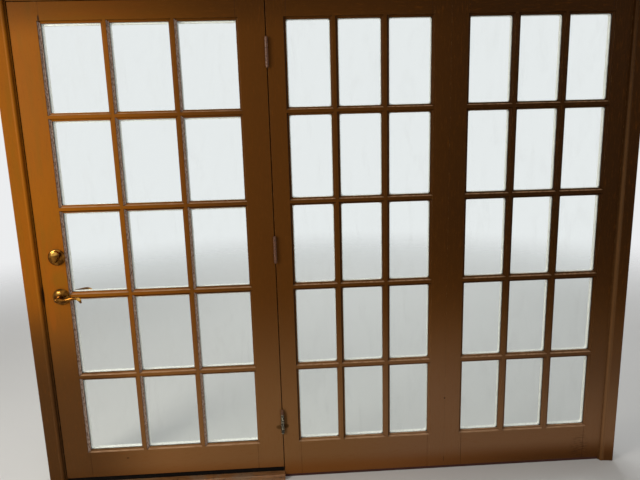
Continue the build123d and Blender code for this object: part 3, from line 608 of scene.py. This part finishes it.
# Which piece has which finish
paints = {
    "upright": paintedWood("roomPaintUpright", "Z", glassFront),
    "bars": paintedWood("roomPaintBars", "both", glassFront),
    "across": paintedWood("roomPaintAcross", "X", glassFront),
    "jamb": paintedWood("roomPaintJamb", "Z", panelBack, glazed=False),
    "head": paintedWood("roomPaintHead", "X", panelBack, glazed=False),
}
for panel in panelBody:     # the rails show their open joints with the stiles
    ends = (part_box(panel + "_left_stile")[1].x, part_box(panel + "_right_stile")[0].x)
    paints[panel] = paintedWood(panel + "RailPaint", "X", glassFront, ends)
weathered = outsidePaint("weatheredOutsidePaint", paint["streak"])
beadFinish = {
    "leaf": beadPaint("leafBeadPaint", "mildew", "putty"),
    # the fixed panels' beads are grimy and dark on their room side, partly painted shade
    "middle": beadPaint("fixedBeadShadedPaint", "grimeAndShade", "grimeAndShade"),
}
beadFinish["right"] = beadFinish["middle"]
sealantFinish = sealant("oldSealant")
brassFinish = brass("agedBrass")
hingeFinish = hingeMetal("paintedHinge")

finishes = {
    "left_stile": paints["upright"], "right_stile": paints["upright"],
    "upright_bars": paints["upright"], "cross_bars": paints["across"], "bars": paints["bars"],
    "panes": dustyGlass("dustyGlass"), "beads": weathered,
    "left_jamb": paints["jamb"], "right_jamb": paints["jamb"], "head_jamb": paints["head"],
    "casing_left": paints["jamb"], "casing_right": paints["jamb"], "casing_head": paints["head"],
    "threshold": thresholdWood("wornThreshold"),
    "weatherstrips": rubber("brownRubber", *rubberColours["strips"]),
    "door_sweep": rubber("blackRubber", *rubberColours["sweep"]),
    "hinge_plates_frame": hingeFinish, "hinge_plates_leaf": hingeFinish, "hinge_pins": hingeFinish,
    "lever_spindle": plainSteel("dullSteel"),
    # the sill's room side is dark, partly painted shade under the fixed panels
    "sill": outsidePaint("weatheredSill", paint["sill"]),
    "astragal": outsidePaint("weatheredAstragal", paint["unfaded"]),
    "brickmould": outsidePaint("weatheredBrickmould", paint["bareWood"]),
    "seam_batten": weathered, "door_side_stop": weathered, "door_head_stop": weathered,
    "fixed_side_stop": weathered, "fixed_head_stop": weathered, "fixed_foot_stop": weathered,
}


def finishOf(name):
    # by the node's own name, or by its name without its panel's; the locks are brass
    if name in finishes:
        return finishes[name]
    for panel in panelBody:
        if name.startswith(panel + "_"):
            kind = name[len(panel) + 1:]
            return paints[panel] if kind.endswith("_rail") else finishes[kind]
    return brassFinish


for name, node in nodes.items():
    node.data.materials.clear()
    node.data.materials.append(finishOf(name))
print("finishes given")


# Modelling helpers
smoothBelow = math.radians(35)      # faces that meet at less are shaded as one surface


def only(piece):
    # makes this the one selected and active object
    bpy.ops.object.select_all(action="DESELECT")
    piece.select_set(True)
    bpy.context.view_layer.objects.active = piece


def pick(kind, test):
    # in edit mode: selects the corners, edges or faces that pass the test
    bpy.ops.mesh.select_mode(type=kind)
    bpy.ops.mesh.select_all(action="DESELECT")
    shape = bmesh.from_edit_mesh(bpy.context.object.data)
    for part in {"VERT": shape.verts, "EDGE": shape.edges, "FACE": shape.faces}[kind]:
        if test(part):
            part.select_set(True)
    bmesh.update_edit_mesh(bpy.context.object.data)


def applied(piece, kind, **settings):
    # adds one modifier and applies it at once
    only(piece)
    modifier = piece.modifiers.new(kind, kind)
    for name, value in settings.items():
        setattr(modifier, name, value)
    if kind == "SUBSURF":
        modifier.render_levels = modifier.levels
    bpy.ops.object.modifier_apply(modifier=modifier.name)


def copyTo(piece, matrix):
    copied = piece.copy()
    copied.data = piece.data.copy()
    copied.data.transform(matrix)
    bpy.context.scene.collection.objects.link(copied)
    return copied


def joined(pieces):
    only(pieces[0])
    for piece in pieces:
        piece.select_set(True)
    bpy.ops.object.join()
    return pieces[0]


def outwards(piece):
    # merges doubles, then turns every face outwards
    only(piece)
    bpy.ops.object.mode_set(mode="EDIT")
    bpy.ops.mesh.select_all(action="SELECT")
    bpy.ops.mesh.remove_doubles(threshold=0.01 * mm)
    bpy.ops.mesh.normals_make_consistent(inside=False)
    bpy.ops.object.mode_set(mode="OBJECT")


def finishPiece(piece, name, finish, body):
    only(piece)
    piece.name = name
    piece.data.name = name
    bpy.ops.object.transform_apply(location=True, rotation=True, scale=True)
    bpy.ops.object.shade_smooth_by_angle(angle=smoothBelow)
    piece.data.materials.clear()
    piece.data.materials.append(finish)
    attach(piece, body)


ringForm = {
    "segments": 4,          # of each round corner
    "long": 50 * mm,        # sides above this are cut up, which those of the corners aren't
}


def paneRing(middle, size, corner, growth, shift, cuts, depth):
    # a plate with round corners, its rim drawn out or in, opened, cut up along its sides and made thick;
    # left in edit mode
    bpy.ops.object.select_all(action="DESELECT")
    bpy.ops.mesh.primitive_plane_add(size=1, rotation=(math.pi / 2, 0, 0), location=middle)
    ring = bpy.context.object
    ring.scale = (size[0], size[1], 1)
    bpy.ops.object.transform_apply(location=True, rotation=True, scale=True)
    bpy.ops.object.mode_set(mode="EDIT")
    bpy.ops.mesh.select_all(action="SELECT")
    bpy.ops.mesh.bevel(offset=corner, affect="VERTICES", segments=ringForm["segments"])
    pick("EDGE", lambda edge: True)
    bpy.ops.mesh.extrude_edges_move()
    bpy.ops.transform.resize(value=growth, center_override=middle)
    bpy.ops.transform.translate(value=shift)
    pick("FACE", lambda face: len(face.verts) > 4)
    bpy.ops.mesh.delete(type="ONLY_FACE")
    pick("EDGE", lambda edge: edge.calc_length() > ringForm["long"])
    bpy.ops.mesh.subdivide(number_cuts=cuts)
    bpy.ops.mesh.select_all(action="SELECT")
    bpy.ops.mesh.extrude_region_move(TRANSFORM_OT_translate={"value": (0, depth, 0)})
    return ring


def atEachPane(first, middles, front):
    # copies the ring to every pane and joins the copies
    rings = [copyTo(first, Matrix.Translation((middle.x, front, middle.z))) for middle in middles]
    bpy.data.objects.remove(first)
    return joined(rings)


def roughened(piece, name, size, amount, group=""):
    # pushes the piece about in the plane of the doors only, so that it stays off the glass
    clouds = bpy.data.textures.new(name, "CLOUDS")
    clouds.noise_scale = size
    clouds.noise_depth = 3
    for direction in ("X", "Z"):
        applied(piece, "DISPLACE", texture=clouds, texture_coords="LOCAL", direction=direction,
                strength=amount, mid_level=0.5, vertex_group=group)


# Outside beads: one ring, copied round every pane of a panel
beadRing = {
    "rabbet": 9 * mm,       # reach past the sight edge
    "taper": 1.5 * mm,      # from the glass to its outer face
    "offGlass": 0.1 * mm,
    "near": 0.3 * mm,       # margin within which corners count as the mouth's
    "cuts": 26,
    "lump": 7 * mm,
    "ragged": {"leaf": 3 * mm, "middle": 1.5 * mm, "right": 1.5 * mm},
    "corner": {"leaf": 1.5 * mm, "middle": 8 * mm, "right": 8 * mm},
    # bare width inside the sight edge at the left, right, top and bottom
    "shown": {
        "leaf": (2.4 * mm, 0.8 * mm, 6 * mm, 0.5 * mm),
        "middle": (0.5 * mm, 0.5 * mm, 0.6 * mm, 0.5 * mm),
        "right": (0.5 * mm, 0.5 * mm, 0.6 * mm, 0.5 * mm),
    },
}


def oneBead(wide, tall, corner, shown, depth):
    # the mouth at the glass, widened to a mitred ring and pulled out to its outer face
    left, right, top, bottom = shown
    mouthWide, mouthTall = wide - left - right, tall - top - bottom
    middle = Vector(((left - right) / 2, 0, (bottom - top) / 2))
    outer = ((wide + 2 * beadRing["rabbet"]) / mouthWide, 1, (tall + 2 * beadRing["rabbet"]) / mouthTall)
    ring = paneRing(middle, (mouthWide, mouthTall), corner, outer, -middle, beadRing["cuts"], depth)
    halfWide, halfTall = mouthWide / 2 + beadRing["near"], mouthTall / 2 + beadRing["near"]

    def atMouth(v, margin=0.0):
        return abs(v.co.x - middle.x) < halfWide + margin and abs(v.co.z - middle.z) < halfTall + margin

    pick("VERT", lambda v: v.co.y > depth / 2 and atMouth(v))
    taper = beadRing["taper"]
    wider = ((mouthWide + 2 * taper) / mouthWide, 1, (mouthTall + 2 * taper) / mouthTall)
    bpy.ops.transform.resize(value=wider, center_override=middle)
    bpy.ops.object.mode_set(mode="OBJECT")
    outwards(ring)
    loose = ring.vertex_groups.new(name="loose")
    loose.add([v.index for v in ring.data.vertices if atMouth(v, taper)], 1, "REPLACE")
    return ring


for panel, body in panelBody.items():
    low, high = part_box(panel + "_beads")
    wide, tall, middles = paneGrid(panel)
    front = low.y + beadRing["offGlass"]
    bead = oneBead(wide, tall, beadRing["corner"][panel], beadRing["shown"][panel], high.y - front)
    beads = atEachPane(bead, middles, front)
    roughened(beads, panel + "BeadEdge", beadRing["lump"], beadRing["ragged"][panel], "loose")
    finishPiece(beads, panel + "_glazing_beads", beadFinish[panel], body)
    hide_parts(panel + "_beads")
print("beads made")


# Films of sealant on the outside of the glass, inside each bead
film = {
    "thick": 0.5 * mm,
    "offGlass": 0.05 * mm,
    "tucked": 1.0 * mm,     # under the bead
    "corner": 1.5 * mm,     # rounder than the bead's
    "cuts": 30,
    "ragged": 2.4 * mm,
    "lump": 4.5 * mm,
    # bare width past the sight edge at the left, right, top and bottom
    "shown": {
        "leaf": (3.6 * mm, 1.4 * mm, 6.4 * mm, 1.8 * mm),
        "middle": (3.2 * mm, 2.4 * mm, 1.2 * mm, 2.6 * mm),
        "right": (1.2 * mm, 2.6 * mm, 1.2 * mm, 2.2 * mm),
    },
}


def oneFilm(wide, tall, corner, shown):
    # the bead's mouth as a flat ring, its hole set off centre so that most shows at the top or foot
    left, right, top, bottom = shown
    fullWide, fullTall = wide + 2 * film["tucked"], tall + 2 * film["tucked"]
    hole = ((wide - left - right) / fullWide, 1, (tall - top - bottom) / fullTall)
    shift = ((left - right) / 2, 0, (bottom - top) / 2)
    ring = paneRing((0, 0, 0), (fullWide, fullTall), corner, hole, shift, film["cuts"], film["thick"])
    bpy.ops.object.mode_set(mode="OBJECT")
    outwards(ring)
    return ring


for panel, body in panelBody.items():
    wide, tall, middles = paneGrid(panel)
    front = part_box(panel + "_panes")[1].y + film["offGlass"]
    smear = oneFilm(wide, tall, beadRing["corner"][panel] + film["corner"], film["shown"][panel])
    films = atEachPane(smear, middles, front)
    roughened(films, panel + "FilmEdge", film["lump"], film["ragged"])
    finishPiece(films, panel + "_sealant", sealantFinish, body)
print("sealant made")


# Levers: a cast arm pulled out ring by ring, melted into its hub and neck
leverForm = {
    "hub": 10.5 * mm,
    "neck": 9.4 * mm,
    "standoff": 48 * mm,
    "tip": 4.6 * mm,
    "ring": 16,             # corners of each section
    "voxel": 0.7 * mm,
    "blend": 10,            # rounds of smoothing where the parts melt together
    "around": {"hub": 40, "neck": 48, "tip": 32},       # corners around each of the other parts
    # along, up, half height, half depth in mm and the lean in degrees of each section of the arm
    "sections": (
        (0, 0, 9.4, 6.8, 0), (15, -4, 9.2, 6.4, -6), (32, -3.5, 8.4, 5.8, 10), (48, 1, 7.4, 5.4, 16),
        (64, 5.5, 6.8, 5.2, 8), (78, 5, 7.2, 5.4, -20), (88, -2, 7.4, 5.6, -52), (91, -12, 5.6, 5, -80),
    ),
}


def leanBy(degrees, middle):
    bpy.ops.transform.rotate(value=math.radians(degrees), orient_axis="Y", center_override=middle)


def castLever(spindleX, spindleZ, leafFace):
    # leafFace is the depth of the leaf's room face, from which the standoff is measured
    sections, around = leverForm["sections"], leverForm["around"]
    middleY = leafFace - leverForm["standoff"]
    bpy.ops.object.select_all(action="DESELECT")
    bpy.ops.mesh.primitive_circle_add(vertices=leverForm["ring"], radius=1, fill_type="NGON",
                                      rotation=(0, math.pi / 2, 0))
    arm = bpy.context.object
    arm.scale = (sections[0][2] * mm, sections[0][3] * mm, 1)
    bpy.ops.object.transform_apply(location=False, rotation=True, scale=True)
    bpy.ops.object.mode_set(mode="EDIT")
    bpy.ops.mesh.select_all(action="SELECT")
    for before, after in zip(sections, sections[1:]):
        step = ((after[0] - before[0]) * mm, 0, (after[1] - before[1]) * mm)
        bpy.ops.mesh.extrude_region_move(TRANSFORM_OT_translate={"value": step})
        middle = (after[0] * mm, 0, after[1] * mm)
        leanBy(-before[4], middle)
        growth = (1, after[3] / before[3], after[2] / before[2])
        bpy.ops.transform.resize(value=growth, center_override=middle)
        leanBy(after[4], middle)
    bpy.ops.object.mode_set(mode="OBJECT")
    outwards(arm)
    applied(arm, "SUBSURF", levels=2)
    bpy.ops.object.select_all(action="DESELECT")
    bpy.ops.mesh.primitive_uv_sphere_add(segments=around["hub"], ring_count=around["hub"] // 2,
                                         radius=leverForm["hub"])
    hub = bpy.context.object
    length = leverForm["standoff"]
    bpy.ops.object.select_all(action="DESELECT")
    bpy.ops.mesh.primitive_cylinder_add(vertices=around["neck"], radius=leverForm["neck"], depth=length,
                                        location=(0, length / 2, 0), rotation=(math.pi / 2, 0, 0))
    neck = bpy.context.object
    bpy.ops.object.transform_apply(location=True, rotation=True, scale=True)
    bpy.ops.object.select_all(action="DESELECT")
    end = (sections[-1][0] * mm, 0, sections[-1][1] * mm)
    bpy.ops.mesh.primitive_uv_sphere_add(segments=around["tip"], ring_count=around["tip"] // 2,
                                         radius=leverForm["tip"], location=end)
    tip = bpy.context.object
    bpy.ops.object.transform_apply(location=True, rotation=True, scale=True)
    lever = joined([arm, hub, neck, tip])
    applied(lever, "REMESH", mode="VOXEL", voxel_size=leverForm["voxel"])
    applied(lever, "SMOOTH", factor=0.5, iterations=leverForm["blend"])
    lever.data.transform(Matrix.Translation((spindleX, middleY, spindleZ)))
    return lever


spindleLow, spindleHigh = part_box("lever_spindle")
spindle = (spindleLow + spindleHigh) / 2
insideLever = castLever(spindle.x, spindle.z, panelFront)
mirror = Matrix.Translation((0, panelFront + panelBack, 0)) @ Matrix.Scale(-1, 4, (0, 1, 0))
outsideLever = copyTo(insideLever, mirror)
outwards(outsideLever)
finishPiece(insideLever, "cast_lever_inside", brassFinish, "lever_set")
finishPiece(outsideLever, "cast_lever_outside", brassFinish, "lever_set")
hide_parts("lever_inside")
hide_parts("lever_outside")
print("levers made")


# Screws: one countersunk head with a cross recess, copied into every hole
screw = {
    "radius": 4.2 * mm,
    "shank": 2.2 * mm,
    "sink": 2.1 * mm,
    "rim": 0.5 * mm,
    "crown": 0.25 * mm,
    "recess": 1.2 * mm,
    "arm": 2.3 * mm,
    "slot": 0.45 * mm,
    "narrowed": (0.45, 0.6, 1),         # the foot of the recess against its mouth
    "round": 24,
    "leftTurned": 0.7,                  # radians from one screw to the next
    "hingeHeights": (270 * mm, 1029 * mm, 1794 * mm),
    "hingeRise": (-39.5 * mm, -13.2 * mm, 13.2 * mm, 39.5 * mm),
    "hingeDepths": (-48 * mm, -34 * mm),
    "hingeFace": 1.4 * mm,              # of a hinge plate from the middle of the gap
    "plateRise": 20.5 * mm,
    "strikeRise": 27 * mm,
    "sunk": 0.1 * mm,                   # below the face of a plate
}


def oneScrew():
    # head facing +Z with its rim at the origin: crown, cone and a short shank
    bpy.ops.object.select_all(action="DESELECT")
    bpy.ops.mesh.primitive_circle_add(vertices=screw["round"], radius=screw["radius"], fill_type="NGON")
    head = bpy.context.object
    bpy.ops.object.mode_set(mode="EDIT")
    bpy.ops.mesh.select_all(action="SELECT")
    bpy.ops.mesh.inset(thickness=screw["rim"])
    bpy.ops.transform.translate(value=(0, 0, screw["crown"]))
    pick("EDGE", lambda edge: edge.is_boundary)
    bpy.ops.mesh.extrude_edges_move(TRANSFORM_OT_translate={"value": (0, 0, -screw["sink"])})
    narrow = screw["shank"] / screw["radius"]
    bpy.ops.transform.resize(value=(narrow, narrow, 1), center_override=(0, 0, -screw["sink"]))
    bpy.ops.mesh.edge_face_add()
    bpy.ops.object.mode_set(mode="OBJECT")
    outwards(head)
    bpy.ops.object.select_all(action="DESELECT")
    bpy.ops.mesh.primitive_cube_add(size=2)
    cross = bpy.context.object
    cross.scale = (screw["arm"], screw["slot"], screw["recess"])
    cross.location.z = screw["crown"]
    bpy.ops.object.transform_apply(location=True, rotation=True, scale=True)
    bpy.ops.object.mode_set(mode="EDIT")
    pick("VERT", lambda v: v.co.z < 0)
    bpy.ops.transform.resize(value=screw["narrowed"], center_override=(0, 0, 0))
    bpy.ops.object.mode_set(mode="OBJECT")
    for turn in (0, math.pi / 2):
        arm = copyTo(cross, Matrix.Rotation(turn, 4, "Z"))
        applied(head, "BOOLEAN", operation="DIFFERENCE", object=arm, solver="EXACT")
        bpy.data.objects.remove(arm)
    bpy.data.objects.remove(cross)
    return head


def screwsAt(name, head, places, facing, body, finish):
    # facing is +1 or -1 along X; each screw is left turned a little differently
    heads = []
    for index, place in enumerate(places):
        spin = Matrix.Rotation(screw["leftTurned"] * index, 4, "Z")
        swing = Matrix.Rotation(facing * math.pi / 2, 4, "Y")
        heads.append(copyTo(head, Matrix.Translation(place) @ swing @ spin))
    finishPiece(joined(heads), name, finish, body)


def hingePlaces(plateX):
    places = []
    for height in screw["hingeHeights"]:
        for index, rise in enumerate(screw["hingeRise"]):
            places.append((plateX, screw["hingeDepths"][index % 2], height + rise))
    return places


def platePlaces(node, rise, plateX):
    low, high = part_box(node)
    middle = (low + high) / 2
    return [(plateX, middle.y, middle.z + side * rise) for side in (-1, 1)]


head = oneScrew()
hingeLow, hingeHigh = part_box("hinge_pins")
hingeMiddle = (hingeLow.x + hingeHigh.x) / 2
framePlaces = hingePlaces(hingeMiddle + screw["hingeFace"])
leafPlaces = hingePlaces(hingeMiddle - screw["hingeFace"])
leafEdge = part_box("latch_case")[0].x + screw["sunk"]
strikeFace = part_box("latch_strike")[1].x - screw["sunk"]
facePlaces = platePlaces("latch_case", screw["plateRise"], leafEdge)
facePlaces += platePlaces("deadbolt_case", screw["plateRise"], leafEdge)
strikePlaces = platePlaces("latch_strike", screw["strikeRise"], strikeFace)
strikePlaces += platePlaces("deadbolt_strike", screw["strikeRise"], strikeFace)
screwsAt("hinge_screws_frame", head, framePlaces, -1, "frame", hingeFinish)
screwsAt("hinge_screws_leaf", head, leafPlaces, 1, "leaf", hingeFinish)
screwsAt("face_plate_screws", head, facePlaces, -1, "leaf", brassFinish)
screwsAt("strike_screws", head, strikePlaces, 1, "frame", brassFinish)
bpy.data.objects.remove(head)
print("screws made")


# Stage, camera and lamps
view = {
    "place": (-0.1642, -2.296, 1.518),
    "yaw": 2.80,            # to the right of +Y, in degrees, as the two below
    "pitch": -11.51,
    "roll": -1.56,
    "lens": 31.7,
    "sensor": 36.0,
}
turn = Matrix.Rotation(-math.radians(view["yaw"]), 4, "Z")
tilt = Matrix.Rotation(math.radians(90 + view["pitch"]), 4, "X")
roll = Matrix.Rotation(math.radians(view["roll"]), 4, "Z")
camera = bpy.data.objects.new("camera", bpy.data.cameras.new("camera"))
bpy.context.scene.collection.objects.link(camera)
camera.matrix_world = Matrix.Translation(view["place"]) @ turn @ tilt @ roll
camera.data.lens = view["lens"]
camera.data.sensor_width = view["sensor"]
camera.data.clip_start = 0.01
camera.data.clip_end = 100
bpy.context.scene.camera = camera

stage = {
    "floor": (0.74, 0.73, 0.71, 1.0),
    "clouded": (0.7, 0.69, 0.67, 1.0),
    "background": (0.84, 0.85, 0.86, 1.0),
    "ambient": 0.28,
    "size": 30,
    "fadeFrom": 2.6,        # metres from the doors at which the floor starts to fade into the background
    "fadeTo": 6.0,
}
bpy.ops.object.select_all(action="DESELECT")
bpy.ops.mesh.primitive_plane_add(size=stage["size"], location=(0, 0, 0))
floor = bpy.context.object
floor.name = "floor"
floorMaterial, tree, shader = newMaterial("paleFloor")
point = objectPoint(tree)
shade = blend(tree, noise(tree, point, 1.5, 4), stage["floor"], stage["clouded"])
plug(tree, shader, Base_Color=shade, Roughness=0.8)
away = addNode(tree, "ShaderNodeVectorMath", {0: point}, operation="LENGTH").outputs["Value"]
gone = addNode(tree, "ShaderNodeBsdfTransparent")
fading = ramp(tree, away, stage["fadeFrom"], stage["fadeTo"])
mixed = addNode(tree, "ShaderNodeMixShader", {0: fading, 1: shader.outputs[0], 2: gone.outputs[0]})
tree.links.new(mixed.outputs[0], tree.nodes["Material Output"].inputs["Surface"])
floor.data.materials.append(floorMaterial)
floor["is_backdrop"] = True

world = bpy.data.worlds.new("studio")
bpy.context.scene.world = world
world.use_nodes = True
tree = world.node_tree
seen = addNode(tree, "ShaderNodeLightPath")
shown = maths(tree, "MAXIMUM", seen.outputs["Is Camera Ray"],
              maths(tree, "MAXIMUM", seen.outputs["Is Glossy Ray"], seen.outputs["Is Transmission Ray"]))
pale = addNode(tree, "ShaderNodeBackground", {"Color": stage["background"], "Strength": 1.0})
ambient = addNode(tree, "ShaderNodeBackground", {"Color": (1, 1, 1, 1), "Strength": stage["ambient"]})
both = addNode(tree, "ShaderNodeMixShader", {0: shown, 1: ambient.outputs[0], 2: pale.outputs[0]})
tree.links.new(both.outputs[0], tree.nodes["World Output"].inputs["Surface"])

# place, aim, size in metres, power in watts and colour; the last says whether glass and metal show it
lamps = {
    "keyLamp": ((-2.7, -1.8, 2.0), (-0.9, 0, 1.1), 1.2, 54, (1, 0.95, 0.86), True),
    "fillLamp": ((1.6, -4.2, 2.2), (0.2, 0, 0.9), 2.4, 24, (1, 1, 1), False),
    "skyLamp": ((0.6, 3.4, 3.4), (0, 0, 0.8), 3.0, 90, (0.95, 0.98, 1), False),
}
for name, (place, aim, size, power, colour, shows) in lamps.items():
    lamp = bpy.data.lights.new(name, "AREA")
    lamp.size = size
    lamp.energy = power
    lamp.color = colour
    holder = bpy.data.objects.new(name, lamp)
    holder.location = place
    holder.rotation_euler = (Vector(aim) - Vector(place)).to_track_quat("-Z", "Y").to_euler()
    holder.visible_camera = False
    holder.visible_transmission = False
    holder.visible_glossy = shows
    bpy.context.scene.collection.objects.link(holder)
bpy.context.scene.view_settings.view_transform = "Standard"
print("camera, stage and lamps placed")

low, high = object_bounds()
